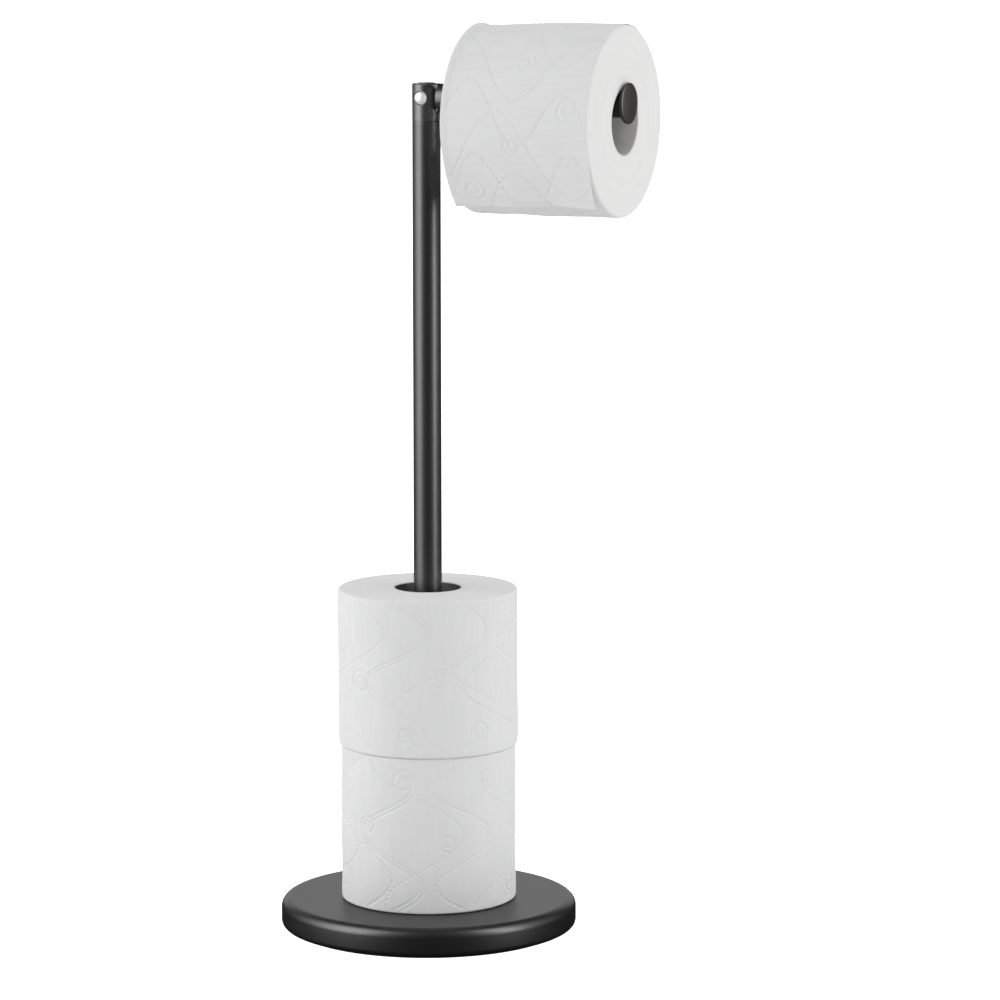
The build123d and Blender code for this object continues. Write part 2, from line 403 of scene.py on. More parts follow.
@dataclass(frozen=True)
class BoardFinish(Finish):
    """Spirally wound board: fibres and the helical seam of its ply."""

    pitch: float = 78 * MM
    seam_steepness: float = 30.0
    seam_blend: float = 0.2
    fibre_share: float = 0.35

    def surface(self, wiring: Wiring, vector: Socket) -> Varied:
        """Add fibres and a seam.

        Args:
            wiring: The material's wiring.
            vector: Coordinates of the pattern.

        Returns:
            The colour's mix, the roughness's mix and the relief's height.
        """
        mottle = self.mottle(wiring, vector)
        parts = wiring.add("SeparateXYZ", {0: vector}).outputs
        angle = wiring.math("DIVIDE", wiring.math("ARCTAN2", parts["Y"], parts["X"]), 2 * math.pi)
        turns = wiring.math("ADD", angle, wiring.math("DIVIDE", parts["Z"], self.pitch))
        ramp = wiring.math("MULTIPLY", wiring.math("FRACT", turns), self.seam_steepness)
        seam = wiring.math("SMOOTH_MIN", ramp, 1.0, self.seam_blend)
        fibres = wiring.math("MULTIPLY", mottle["Grain"], self.fibre_share)
        height = wiring.math("ADD", seam, fibres)
        tone = wiring.math("MULTIPLY", seam, mottle["Cloud"])
        return tone, mottle["Grain"], height


BASE_PAINT = Finish(
    "gloss_black_paint", (0.0007, 0.0007, 0.0009), (0.0012, 0.0012, 0.0014), 0.09, 0.12, 0.08,
    0.05 * MM, 30.0, 700.0, ior=1.6,
)
TUBE_PAINT = Finish(
    "satin_black_paint", (0.017, 0.0168, 0.0165), (0.023, 0.0227, 0.0222), 0.08, 0.11, 0.08,
    0.05 * MM, 40.0, 1300.0,
)
MOULDED_PLASTIC = Finish(
    "moulded_black_plastic", (0.012, 0.012, 0.0125), (0.018, 0.018, 0.0185), 0.36, 0.46, 0.25,
    0.06 * MM, 60.0, 2200.0,
)
KNOB_PLASTIC = Finish(
    "knob_plastic", (0.009, 0.0065, 0.006), (0.014, 0.010, 0.0095), 0.16, 0.22, 0.12,
    0.05 * MM, 60.0, 1500.0, ior=1.36,
)
# Pale, mostly diffuse nickel colour: partly the metal's own light tone, partly a painted reflection of
# the white surround, which reflections here don't see.
PIN_NICKEL_PAINTED_SHINE = Finish(
    "pin_nickel_painted_reflection", (0.84, 0.85, 0.86), (0.90, 0.91, 0.92), 0.30, 0.40, 0.05,
    0.03 * MM, 200.0, 2500.0, metallic=0.2,
)
ZINC = Finish(
    "zinc_plated_steel", (0.42, 0.42, 0.40), (0.62, 0.62, 0.58), 0.28, 0.46, 0.2,
    0.05 * MM, 180.0, 2600.0, metallic=1.0,
)
CAST_IRON = Finish(
    "raw_cast_iron", (0.07, 0.066, 0.063), (0.16, 0.15, 0.145), 0.55, 0.8, 0.6,
    0.3 * MM, 60.0, 420.0, metallic=0.7,
)
FOOT_RUBBER = Finish(
    "foot_rubber", (0.016, 0.016, 0.016), (0.028, 0.028, 0.028), 0.72, 0.88, 0.5,
    0.12 * MM, 50.0, 1400.0,
)
WASHER_NYLON = Finish(
    "washer_nylon", (0.70, 0.69, 0.64), (0.78, 0.77, 0.72), 0.45, 0.6, 0.1,
    0.05 * MM, 150.0, 1800.0,
)


# ---------------------------------------------------------------- modelling moves


def deselect() -> None:
    """Leave edit mode if need be and deselect every object."""
    if bpy.context.object and bpy.context.object.mode != "OBJECT":
        bpy.ops.object.mode_set(mode="OBJECT")
    bpy.ops.object.select_all(action="DESELECT")


def pick(piece: bpy.types.Object) -> None:
    """Select one piece alone, in object mode, and make it active."""
    deselect()
    piece.select_set(True)
    bpy.context.view_layer.objects.active = piece


def select_edges(piece: bpy.types.Object, keep: Callable[[Vector, Vector], bool]) -> None:
    """Select the edges whose two ends pass a test, leaving the piece in edit mode.

    Args:
        piece: The active piece, in object mode.
        keep: Takes an edge's two ends and tells whether to select it.
    """
    bpy.ops.object.mode_set(mode="EDIT")
    bpy.ops.mesh.select_mode(type="EDGE")
    bpy.ops.mesh.select_all(action="DESELECT")
    bpy.ops.object.mode_set(mode="OBJECT")
    points = piece.data.vertices
    for edge in piece.data.edges:
        edge.select = keep(points[edge.vertices[0]].co, points[edge.vertices[1]].co)
    bpy.ops.object.mode_set(mode="EDIT")


def turn(name: str, outline: list[tuple[float, float]], segments: int, closed: bool) -> bpy.types.Object:
    """Turn an outline about Z: a circle is extruded and resized from point to point.

    Args:
        name: The piece's name.
        outline: Points as (radius, height).
        segments: Vertices round the circle.
        closed: Whether the last point joins the first.

    Returns:
        The piece, in object mode, with its normals outwards.
    """
    deselect()
    radius, height = outline[0]
    bpy.ops.mesh.primitive_circle_add(
        vertices=segments, radius=radius, location=(0, 0, height), fill_type="NOTHING"
    )
    piece = bpy.context.object
    piece.name = piece.data.name = name
    bpy.ops.object.transform_apply(location=True, rotation=True, scale=True)
    bpy.ops.object.mode_set(mode="EDIT")
    bpy.ops.mesh.select_all(action="SELECT")
    for next_radius, next_height in outline[1:] + (outline[:1] if closed else []):
        bpy.ops.mesh.extrude_edges_move(
            TRANSFORM_OT_translate={"value": (0, 0, next_height - height)}
        )
        share = next_radius / radius
        bpy.ops.transform.resize(value=(share, share, 1), center_override=(0, 0, next_height))
        radius, height = next_radius, next_height
    close_up(piece)
    return piece


def bevel_ring(piece: bpy.types.Object, radius: float, height: float, size: float, steps: int) -> None:
    """Round the ring of edges at one radius and height of a turned piece.

    Args:
        piece: The turned piece, about Z.
        radius: The ring's radius.
        height: The ring's height.
        size: The rounding's radius.
        steps: Faces across the rounding.
    """

    def on_ring(start: Vector, end: Vector) -> bool:
        """Tell whether both ends of an edge lie on the ring."""
        return all(
            abs(math.hypot(point.x, point.y) - radius) < ON_RING and abs(point.z - height) < ON_RING
            for point in (start, end)
        )

    select_edges(piece, on_ring)
    bpy.ops.mesh.bevel(offset=size, segments=steps, affect="EDGES", profile=0.5)
    bpy.ops.object.mode_set(mode="OBJECT")


def smooth(piece: bpy.types.Object, angle: float = 40.0) -> None:
    """Shade a piece smooth except at edges sharper than an angle in degrees."""
    pick(piece)
    bpy.ops.object.shade_smooth_by_angle(angle=math.radians(angle))


def lay_along_x(piece: bpy.types.Object, height: float) -> None:
    """Turn a piece made about Z so that its axis is X at a height, and apply the turn.

    Args:
        piece: The piece, which ends with its old +Z along +X.
        height: The axis's height above the floor.
    """
    pick(piece)
    piece.rotation_euler = (0, math.pi / 2, 0)
    piece.location = (0, 0, height)
    bpy.ops.object.transform_apply(location=True, rotation=True, scale=True)


def finish_modifier(piece: bpy.types.Object, kind: str, **settings: Any) -> None:
    """Add a modifier with its settings and apply it.

    Args:
        piece: The piece to change.
        kind: The modifier's type.
        settings: The modifier's properties.
    """
    pick(piece)
    modifier = piece.modifiers.new(kind.lower(), kind)
    for name, value in settings.items():
        setattr(modifier, name, value)
    bpy.ops.object.modifier_apply(modifier=modifier.name)


def woven_grid(
    name: str, columns: int, rows: int, place: Callable[[np.ndarray, np.ndarray], np.ndarray]
) -> bpy.types.Object:
    """Add a flat grid and bend it into shape.

    Args:
        name: The piece's name.
        columns: Faces along the grid.
        rows: Faces across the grid.
        place: Takes each vertex's column and row number and returns its points.

    Returns:
        The bent grid, in object mode.
    """
    deselect()
    bpy.ops.mesh.primitive_grid_add(x_subdivisions=columns, y_subdivisions=rows, size=1)
    piece = bpy.context.object
    piece.name = piece.data.name = name
    flat = np.zeros(len(piece.data.vertices) * 3)
    piece.data.vertices.foreach_get("co", flat)
    flat = flat.reshape(-1, 3)
    column = np.rint((flat[:, 0] + 0.5) * columns).astype(int)
    row = np.rint((flat[:, 1] + 0.5) * rows).astype(int)
    piece.data.vertices.foreach_set("co", place(column, row).ravel())
    piece.data.update()
    return piece


def close_up(piece: bpy.types.Object) -> None:
    """Merge a piece's points that meet and point its faces outwards.

    Args:
        piece: The piece, which ends in object mode.
    """
    pick(piece)
    bpy.ops.object.mode_set(mode="EDIT")
    bpy.ops.mesh.select_all(action="SELECT")
    bpy.ops.mesh.remove_doubles(threshold=MERGE)
    bpy.ops.mesh.normals_make_consistent(inside=False)
    bpy.ops.object.mode_set(mode="OBJECT")


def dress(piece: bpy.types.Object, *finishes: Finish) -> None:
    """Give a piece its materials in place of those it has.

    Args:
        piece: The piece.
        finishes: Its finishes, in the order of its material slots.
    """
    while len(piece.data.materials) > len(finishes):
        piece.data.materials.pop()
    for number, finish in enumerate(finishes):
        if number < len(piece.data.materials):
            piece.data.materials[number] = finish.material()
        else:
            piece.data.materials.append(finish.material())


def settle(piece: bpy.types.Object, body: str, node: str) -> None:
    """Tell the frame what a new piece is.

    Args:
        piece: The new piece.
        body: The body that it rides on.
        node: The CAD node that it stands for.
    """
    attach(piece, body)
    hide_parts(node)
    log.info("%s rides on %s, %d faces", piece.name, body, len(piece.data.polygons))


# ---------------------------------------------------------------- base


@dataclass
class Base:
    """Weighted round base: painted cover, non-slip ring and the parts screwed in below."""

    wall: float = 1.2 * MM
    shoulder: float = 6 * MM
    shoulder_steps: int = 18
    rim: float = 4 * MM
    rim_steps: int = 8
    rim_lip: float = 0.5 * MM
    bolt_hole: float = 4.5 * MM
    top_rings: tuple[float, ...] = (0.15, 0.4, 0.7, 0.9, 0.985)
    ring_width: float = 13.5 * MM
    ring_chamfer: float = 0.5 * MM
    ring_grooves: int = 4
    groove_depth: float = 0.5 * MM
    groove_slope: float = 0.25
    segments: int = 192

    def cover(self) -> bpy.types.Object:
        """Make the pressed cover: flat top, round shoulder, skirt and a rim rolled inwards.

        Returns:
            The cover.
        """
        low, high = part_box("base_shell")
        radius = high.x
        inner = radius - self.shoulder
        outline = [(self.bolt_hole, high.z)]
        outline += [(inner * share, high.z) for share in self.top_rings]
        outline += [(radius, high.z), (radius, low.z), (radius - self.rim - self.rim_lip, low.z)]
        piece = turn("base_cover", outline, self.segments, closed=False)
        bevel_ring(piece, radius, high.z, self.shoulder, self.shoulder_steps)
        bevel_ring(piece, radius, low.z, self.rim, self.rim_steps)
        finish_modifier(piece, "SOLIDIFY", thickness=self.wall, offset=-1.0, use_even_offset=True)
        smooth(piece, angle=50)
        dress(piece, BASE_PAINT)
        settle(piece, "stand", "base_shell")
        return piece

    def ring(self) -> bpy.types.Object:
        """Make the non-slip ring, with shallow round grooves in its underside.

        Returns:
            The ring.
        """
        low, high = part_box("foot_ring")
        outer, inner = high.x, high.x - self.ring_width
        land = (outer - inner) / (2 * self.ring_grooves + 1)
        outline = [(inner, high.z), (inner, low.z)]
        for number in range(self.ring_grooves):
            start = inner + (2 * number + 1) * land
            outline += [
                (start, low.z),
                (start + land * self.groove_slope, low.z + self.groove_depth),
                (start + land * (1 - self.groove_slope), low.z + self.groove_depth),
                (start + land, low.z),
            ]
        outline += [(outer - self.ring_chamfer, low.z), (outer, low.z + self.ring_chamfer)]
        outline.append((outer, high.z))
        piece = turn("non_slip_ring", outline, self.segments, closed=True)
        smooth(piece, angle=30)
        dress(piece, FOOT_RUBBER)
        settle(piece, "stand", "foot_ring")
        return piece

    def build(self) -> None:
        """Make the cover and the ring, and dress the pieces that keep their CAD shape."""
        self.cover()
        self.ring()
        finishes = {
            "base_weight": CAST_IRON,
            "base_plate": MOULDED_PLASTIC,
            "plate_screws": ZINC,
            "post_bolt": ZINC,
            "bolt_washer": ZINC,
            "lock_washer": ZINC,
            "post_insert": ZINC,
        }
        for node, finish in finishes.items():
            dress(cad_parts[node], finish)


# ---------------------------------------------------------------- tubes and hinge


@dataclass
class Tube:
    """A painted steel tube with broken edges, along Z or X."""

    node: str
    body: str
    name: str
    along: Axis
    wall: float = 1.2 * MM
    edge: float = 0.35 * MM
    edge_steps: int = 3
    end_band: float = 2 * MM
    segments: int = 96

    def build(self) -> bpy.types.Object:
        """Make the tube in place of its CAD node.

        Returns:
            The tube.
        """
        low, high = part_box(self.node)
        radius = (high.y - low.y) / 2
        bore = radius - self.wall
        start, end = low[self.along.index], high[self.along.index]
        outline = [(bore, start), (radius, start), (radius, start + self.end_band)]
        outline += [(radius, end - self.end_band), (radius, end), (bore, end)]
        piece = turn(self.name, outline, self.segments, closed=True)
        for height in (start, end):
            bevel_ring(piece, radius, height, self.edge, self.edge_steps)
        if self.along is Axis.X:
            lay_along_x(piece, (low.z + high.z) / 2)
        smooth(piece, angle=35)
        dress(piece, TUBE_PAINT)
        settle(piece, self.body, self.node)
        return piece


@dataclass
class Knob:
    """The arm's end knob: a flat disc with a full round rim and a low domed face."""

    rim: float = 1.5 * MM
    rim_steps: int = 8
    rim_flatness: float = 0.55
    back_chamfer: float = 0.5 * MM
    dome: float = 0.8 * MM
    dome_power: float = 0.8
    dome_rings: tuple[float, ...] = (0.9, 0.78, 0.62, 0.44, 0.25, 0.1, 0.004)
    plug: float = 7.6 * MM
    plug_depth: float = 18 * MM
    plug_centre: float = 0.05 * MM
    segments: int = 96

    def build(self) -> bpy.types.Object:
        """Make the knob and its plug in place of the CAD node.

        Returns:
            The knob.
        """
        low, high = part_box("arm_knob")
        radius, back = (high.y - low.y) / 2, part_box("arm_tube")[1].x
        edge, chamfer, end = high.x - self.dome, self.back_chamfer, back - self.plug_depth
        outline = [(self.plug_centre, end), (self.plug, end), (self.plug, back)]
        outline += [(radius - chamfer, back), (radius, back + chamfer)]
        for step in range(self.rim_steps + 1):
            bend = math.pi / 2 * step / self.rim_steps
            inset = self.rim * (1 - math.cos(bend))
            outline.append((radius - inset, edge - self.rim * (1 - math.sin(bend)) * self.rim_flatness))
        outline += [
            ((radius - self.rim) * share, edge + self.dome * (1 - share**2) ** self.dome_power)
            for share in self.dome_rings
        ]
        piece = turn("arm_end_knob", outline, self.segments, closed=False)
        bpy.ops.object.mode_set(mode="EDIT")
        bpy.ops.mesh.select_all(action="SELECT")
        bpy.ops.mesh.fill_holes(sides=0)
        bpy.ops.mesh.normals_make_consistent(inside=False)
        bpy.ops.object.mode_set(mode="OBJECT")
        lay_along_x(piece, (low.z + high.z) / 2)
        smooth(piece, angle=40)
        dress(piece, KNOB_PLASTIC)
        settle(piece, "arm", "arm_knob")
        return piece


@dataclass
class Hinge:
    """Forked head, nickel pin, screw, nylon washers and the arm's tongue."""

    finishes: tuple[tuple[str, Finish], ...] = (
        ("hinge_head", MOULDED_PLASTIC),
        ("arm_knuckle", MOULDED_PLASTIC),
        ("hinge_pin", PIN_NICKEL_PAINTED_SHINE),
        ("hinge_screw", PIN_NICKEL_PAINTED_SHINE),
        ("friction_washers", WASHER_NYLON),
    )

    def build(self) -> None:
        """Dress the hinge's pieces, which keep their CAD shape."""
        for node, finish in self.finishes:
            dress(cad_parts[node], finish)
            log.info("%s keeps its CAD shape", node)


# ---------------------------------------------------------------- rolls


@dataclass(frozen=True)
class Embossing:
    """Pattern pressed into the tissue: dashed waves that cross, curls between them, soft pillows."""

    waves: tuple[float, float] = (64 * MM, 92 * MM)
    cell_around: float = 52 * MM
    curls: int = 13
    strength: float = 1.0
    swings: tuple[float, float] = (0.26, 0.36)
    lean: float = 0.3
    stagger: float = 0.25
    wave_depths: tuple[float, float] = (0.6, 1.0)
    dash_pitch: float = 3.5 * MM
    dash_level: float = 0.62
    dash_swing: float = 1.1
    line_width: float = 0.62 * MM
    line_depth: float = 0.58 * MM
    lip: float = 0.16
    lip_reach: float = 2.3
    twin_every: int = 4
    twin_gap: float = 2.3 * MM
    twin_depths: tuple[float, float] = (0.6, 0.5)
    curl_start: float = 1.6 * MM
    curl_growth: float = 3.3 * MM
    curl_turns: float = 1.6
    curl_sizes: tuple[float, float] = (0.85, 1.3)
    curl_depth: float = 0.75
    curl_scatter: float = 0.2
    curl_stride: float = 0.381
    curl_drift: float = 0.06
    curl_margin: float = 0.12
    curl_clearing: float = 0.85
    curl_reach: float = 0.6
    curl_fade: float = 0.06
    faint: float = 0.05
    pillow: float = 0.16 * MM
    pillow_width: float = 6.0 * MM
    seed: int = 5

    def height(self, around: np.ndarray, across: np.ndarray, length: float, width: float) -> np.ndarray:
        """Work out the pressed relief.

        Args:
            around: Distance along the paper, in metres.
            across: Distance across the paper, in metres.
            length: The circumference, over which the pattern repeats.
            width: The paper's width.

        Returns:
            Height above the plain surface at each point, negative in the grooves.
        """
        chance = np.random.default_rng(self.seed)
        cells = round(length / self.cell_around)
        cell = length / cells
        nearest = np.full_like(around, 1.0)
        pressed = np.zeros_like(around)
        for side, step in zip((1, -1), self.waves):
            for number in range(cells):
                swing = step * chance.uniform(*self.swings)
                phase = chance.uniform(0, 2 * np.pi)
                lean = cell * chance.uniform(-self.lean, self.lean) / width
                bend = 2 * np.pi * across / step + phase
                path = (number + self.stagger * side) * cell + swing * np.sin(bend) + lean * across
                slope = swing * 2 * np.pi / step * np.cos(bend)
                off = (around - path + length / 2) % length - length / 2
                gap = off / np.sqrt(1 + slope**2)
                nearest = np.minimum(nearest, np.abs(gap))
                if number % self.twin_every == 1 and side == 1:
                    first, second = self.twin_depths
                    pressed = self.deepest(pressed, first * self.groove(gap))
                    pressed = self.deepest(pressed, second * self.groove(gap - self.twin_gap))
                    continue
                travel = self.travel(across, swing, step, phase, width)
                beat = np.cos(2 * np.pi * travel / self.dash_pitch)
                dashes = np.clip(self.dash_level + self.dash_swing * beat, 0, 1)
                depth = chance.uniform(*self.wave_depths)
                pressed = self.deepest(pressed, depth * dashes * self.groove(gap))
        for number in range(self.curls):
            scattered = number + chance.uniform(-self.curl_scatter, self.curl_scatter)
            drifted = number * self.curl_stride + chance.uniform(-self.curl_drift, self.curl_drift)
            share = drifted % (1 - 2 * self.curl_margin) + self.curl_margin
            middle = (scattered * length / self.curls, width * share)
            start, hand = chance.uniform(0, 2 * np.pi), chance.choice((-1, 1))
            size = chance.uniform(*self.curl_sizes)
            shape = self.curl(around, across, length, middle, start, hand, size)
            clear = 1 - self.curl_clearing * np.clip(-shape, 0, 1)
            pressed = np.where(np.abs(shape) > self.faint, pressed * clear, pressed)
            pressed = self.deepest(pressed, self.curl_depth * shape)
        relief = self.pillow * (1 - np.exp(-((nearest / self.pillow_width) ** 2)))
        return relief + pressed * self.line_depth * self.strength

    def groove(self, gap: np.ndarray) -> np.ndarray:
        """Return a groove of unit depth with low lips, from the distance to its middle."""
        reach = np.abs(gap) / self.line_width
        return self.lip * np.exp(-((reach - self.lip_reach) ** 2)) - np.exp(-(reach**2))

    def deepest(self, one: np.ndarray, other: np.ndarray) -> np.ndarray:
        """Return whichever of two reliefs is further from the plain surface."""
        return np.where(np.abs(other) > np.abs(one), other, one)

    def travel(
        self, across: np.ndarray, swing: float, step: float, phase: float, width: float
    ) -> np.ndarray:
        """Measure along a wave.

        Args:
            across: Distance across the paper.
            swing: The wave's height.
            step: The wave's length.
            phase: Its phase at the paper's edge.
            width: The paper's width.

        Returns:
            The distance travelled along the wave at each distance across.
        """
        overrun = 0.1 * width
        samples = np.linspace(-overrun, width + overrun, 600)
        slope = swing * 2 * np.pi / step * np.cos(2 * np.pi * samples / step + phase)
        run = np.cumsum(np.sqrt(1 + slope**2)) * (samples[1] - samples[0])
        return np.interp(across, samples, run)

    def curl(
        self,
        around: np.ndarray,
        across: np.ndarray,
        length: float,
        middle: tuple[float, float],
        start: float,
        hand: int,
        size: float,
    ) -> np.ndarray:
        """Work out one spiral curl.

        Args:
            around: Distance along the paper.
            across: Distance across the paper.
            length: The circumference.
            middle: The curl's centre, along and across.
            start: The angle its inner end starts from.
            hand: 1 or -1, the way it winds.
            size: A factor on its size.

        Returns:
            The curl's relief at unit depth.
        """
        x = ((around - middle[0] + length / 2) % length - length / 2) / size
        y = (across - middle[1]) / size * hand
        radius = np.hypot(x, y)
        angle = ((np.arctan2(y, x) - start) / (2 * np.pi)) % 1.0
        relief = np.zeros_like(around)
        near = radius < self.curl_start + self.curl_growth * (self.curl_turns + self.curl_reach)
        for whole in range(math.ceil(self.curl_turns)):
            turns = angle + whole
            path = self.curl_start + self.curl_growth * turns
            fade = np.clip((self.curl_turns - turns) / self.curl_fade, 0, 1) * near
            relief = self.deepest(relief, fade * self.groove(radius - path))
        return relief


@dataclass
class PaperRoll:
    """One toilet roll: a wound ring of embossed tissue on a spirally wound board core."""

    name: str
    body: str
    along: Axis
    seam_angle: float
    seed: int
    columns: int = 540
    side_rows: int = 146
    end_rows: int = 12
    edge_rows: int = 5
    edge: float = 2.0 * MM
    rim_grip: float = 0.45
    rim_fade: float = 3 * MM
    core_wall: float = 0.8 * MM
    core_gap: float = 0.02 * MM
    core_short: float = 0.35 * MM
    core_edge: float = 0.15 * MM
    skin: float = 0.35 * MM
    ply_step: float = 0.3 * MM
    ply_noise: float = 0.05 * MM
    ply_bands: int = 9
    ply_band: float = 0.12 * MM
    ply_swell: float = 0.4
    dents: int = 16
    dent_lobes: tuple[int, int] = (1, 12)
    dent_waves: float = 2.5
    dent_sizes: tuple[float, float] = (0.03 * MM, 0.09 * MM)
    slack: float = 0.0
    slack_reach: float = 0.75
    dish: float = 0.0
    dish_reach: float = 0.4
    # Colours of the core's board; the reserve rolls are given near-black ones, a painted shade for the
    # dark inside of their holes.
    board_and_shade_dark: tuple[float, float, float] = (0.40, 0.395, 0.36)
    board_and_shade_light: tuple[float, float, float] = (0.56, 0.555, 0.52)
    embossing: Embossing = Embossing()

    def __post_init__(self) -> None:
        """Read the roll's place and sizes from its CAD nodes."""
        low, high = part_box(f"{self.name}_paper")
        core_low, core_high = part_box(f"{self.name}_core")
        self.radius = (high.y - low.y) / 2
        self.core_radius = (core_high.y - core_low.y) / 2
        self.start = low[self.along.index]
        self.width = high[self.along.index] - self.start
        self.centre = tuple((low + high) / 2)

    def to_row(self, radius: np.ndarray, angle: np.ndarray, along: np.ndarray) -> np.ndarray:
        """Turn cylindrical coordinates about the roll into points.

        Args:
            radius: Distances from the roll's axis.
            angle: Angles about it.
            along: Distances along it from the roll's start.

        Returns:
            The points, one in each row.
        """
        flat, up = radius * np.cos(angle), radius * np.sin(angle)
        if self.along is Axis.Z:
            return np.stack([flat + self.centre[0], up + self.centre[1], along + self.start], axis=1)
        return np.stack([along + self.start, flat + self.centre[1], up + self.centre[2]], axis=1)

    def outline(self) -> np.ndarray:
        """Trace the paper's section: one end, the side and the other end.

        Returns:
            Rows of (radius, distance along, radial normal, axial normal, side weight).
        """
        inner, outer = self.core_radius + self.core_gap, self.radius - self.skin
        rows = [
            (radius, 0.0, 0.0, -1.0, 0.0)
            for radius in np.linspace(inner, outer - self.edge, self.end_rows, endpoint=False)
        ]
        rows += [
            (
                outer - self.edge + self.edge * np.sin(bend),
                self.edge - self.edge * np.cos(bend),
                np.sin(bend),
                -np.cos(bend),
                self.grip(0.0) * np.sin(bend),
            )
            for bend in np.linspace(0, np.pi / 2, self.edge_rows + 1)
        ]
        for along in np.linspace(self.edge, self.width - self.edge, self.side_rows + 1)[1:-1]:
            rim = min(along, self.width - along) - self.edge
            rows.append((outer, along, 1.0, 0.0, self.grip(rim)))
        far = [
            (radius, self.width - along, out, -axial, weight)
            for radius, along, out, axial, weight in rows[: self.end_rows + self.edge_rows + 1]
        ]
        return np.array(rows + far[::-1])

    def grip(self, rim: Any) -> Any:
        """Return how strongly the relief shows at a distance inwards from the rounded rim."""
        return self.rim_grip + (1 - self.rim_grip) * np.clip(rim / self.rim_fade, 0, 1)

    def sink(self, along: np.ndarray) -> np.ndarray:
        """Return how far the windings have slid inwards at a distance from the roll's start."""
        return self.dish * np.clip(1 - along / (self.dish_reach * self.width), 0, 1) ** 2

    def wobble(self, angle: np.ndarray, along: np.ndarray) -> np.ndarray:
        """Work out slow dents and swells of the wound paper, the same each time.

        Args:
            angle: Angles about the roll.
            along: Distances along it.

        Returns:
            The height of the dents at each point.
        """
        chance = np.random.default_rng(self.seed)
        total = np.zeros_like(angle)
        for _ in range(self.dents):
            lobes = chance.integers(*self.dent_lobes)
            waves = chance.uniform(-self.dent_waves, self.dent_waves)
            phase, size = chance.uniform(0, 2 * np.pi), chance.uniform(*self.dent_sizes)
            total += size * np.sin(lobes * angle + 2 * np.pi * waves * along / self.width + phase)
        return total

    def relief(self, angle: np.ndarray, along: np.ndarray) -> np.ndarray:
        """Work out the whole relief of the wound side.

        Args:
            angle: Angles about the roll.
            along: Distances along it.

        Returns:
            The embossing and the dents, less the sag of loose windings.
        """
        length = 2 * np.pi * self.radius
        pressed = self.embossing.height(angle * self.radius, along, length, self.width)
        loose = np.clip(1 - along / (self.slack_reach * self.width), 0, 1) ** 1.3
        droop = self.slack * loose * (0.5 + 0.5 * np.sin(angle))
        return pressed + self.wobble(angle, along) - droop

    def paper(self) -> bpy.types.Object:
        """Make the wound tissue with its pressed side, its layered ends and its last edge.

        Returns:
            The tissue.
        """
        outline = self.outline()
        count = len(outline)
        chance = np.random.default_rng(self.seed + 100)
        noise = chance.normal(0, self.ply_noise, count)
        bands = chance.normal(0, self.ply_band, self.ply_bands)
        steps = noise + np.interp(np.arange(count), np.linspace(0, count, self.ply_bands), bands)

        def place(column: np.ndarray, row: np.ndarray) -> np.ndarray:
            """Wind each row of the grid about the roll's axis.

            Args:
                column: Each vertex's column, which sets its angle.
                row: Each vertex's row, which sets its place in the section.

            Returns:
                The points.
            """
            radius, along, out, axial, weight = outline[row % count].T
            turn_share = (column % self.columns) / self.columns
            angle = 2 * np.pi * turn_share + self.seam_angle
            relief = self.relief(angle % (2 * np.pi), along)
            spiral = self.ply_step * (0.5 - turn_share)
            shift = weight * relief + np.where(weight > 0, spiral, 0.0)
            layered = np.where(weight > 0, 0.0, steps[row % count] * np.abs(axial))
            swell = layered * (1 + self.ply_swell * np.sin(3 * angle + self.seed))
            share = (radius - self.core_radius) / (self.radius - self.core_radius)
            sunk = self.sink(along) * share**2
            return self.to_row(radius + out * shift, angle, along + axial * swell + sunk)

        piece = woven_grid(f"{self.name}_tissue", self.columns, count, place)
        self.mark_ends(piece)
        close_up(piece)
        smooth(piece, angle=60)
        dress(piece, self.side_finish(), self.end_finish())
        settle(piece, self.body, f"{self.name}_paper")
        return piece

    def mark_ends(self, piece: bpy.types.Object) -> None:
        """Give the faces of the two ends the second material slot.

        Args:
            piece: The tissue.
        """
        normals = np.zeros(len(piece.data.polygons) * 3)
        piece.data.polygons.foreach_get("normal", normals)
        ends = np.abs(normals.reshape(-1, 3)[:, self.along.index]) > 0.75
        piece.data.polygons.foreach_set("material_index", ends.astype(np.int32))

    def core(self) -> bpy.types.Object:
        """Make the board tube, a little short of the paper at both ends.

        Returns:
            The tube.
        """
        outer, edge = self.core_radius - self.core_gap, self.core_edge
        inner = outer - self.core_wall
        start, end = self.start + self.core_short, self.start + self.width - self.core_short
        outline = [(inner, start + edge), (inner + edge, start), (outer, start), (outer, end)]
        outline += [(inner + edge, end), (inner, end - edge)]
        piece = turn(f"{self.name}_tube", outline, segments=96, closed=True)
        if self.along is Axis.X:
            lay_along_x(piece, self.centre[2])
        smooth(piece, angle=50)
        dress(piece, self.board_finish())
        settle(piece, self.body, f"{self.name}_core")
        return piece

    def side_finish(self) -> Finish:
        """Return the creped side of the tissue."""
        return DrawnFinish(
            f"{self.name}_tissue_side", (0.80, 0.805, 0.80), (0.87, 0.875, 0.875), 0.82, 0.95,
            0.35, 0.12 * MM, grain_scale=1500.0, sheen=0.15,
            pattern=Pattern(self.along, self.centre), stretch=0.12,
        )

    def end_finish(self) -> Finish:
        """Return the cut end of the tissue."""
        return WoundFinish(
            f"{self.name}_tissue_end", (0.79, 0.79, 0.785), (0.88, 0.88, 0.875), 0.85, 0.97,
            0.45, 0.12 * MM, grain_scale=2600.0, sheen=0.1,
            pattern=Pattern(self.along, self.centre),
        )

    def board_finish(self) -> Finish:
        """Return the core's board: grey on the arm roll, near-black painted shade on the reserve rolls.
        """
        return BoardFinish(
            f"{self.name}_board", self.board_and_shade_dark, self.board_and_shade_light, 0.8, 0.95,
            0.5, 0.2 * MM, 90.0, 1600.0, pattern=Pattern(self.along, self.centre),
        )

    def build(self) -> None:
        """Make the tissue and the core."""
        self.paper()
        self.core()


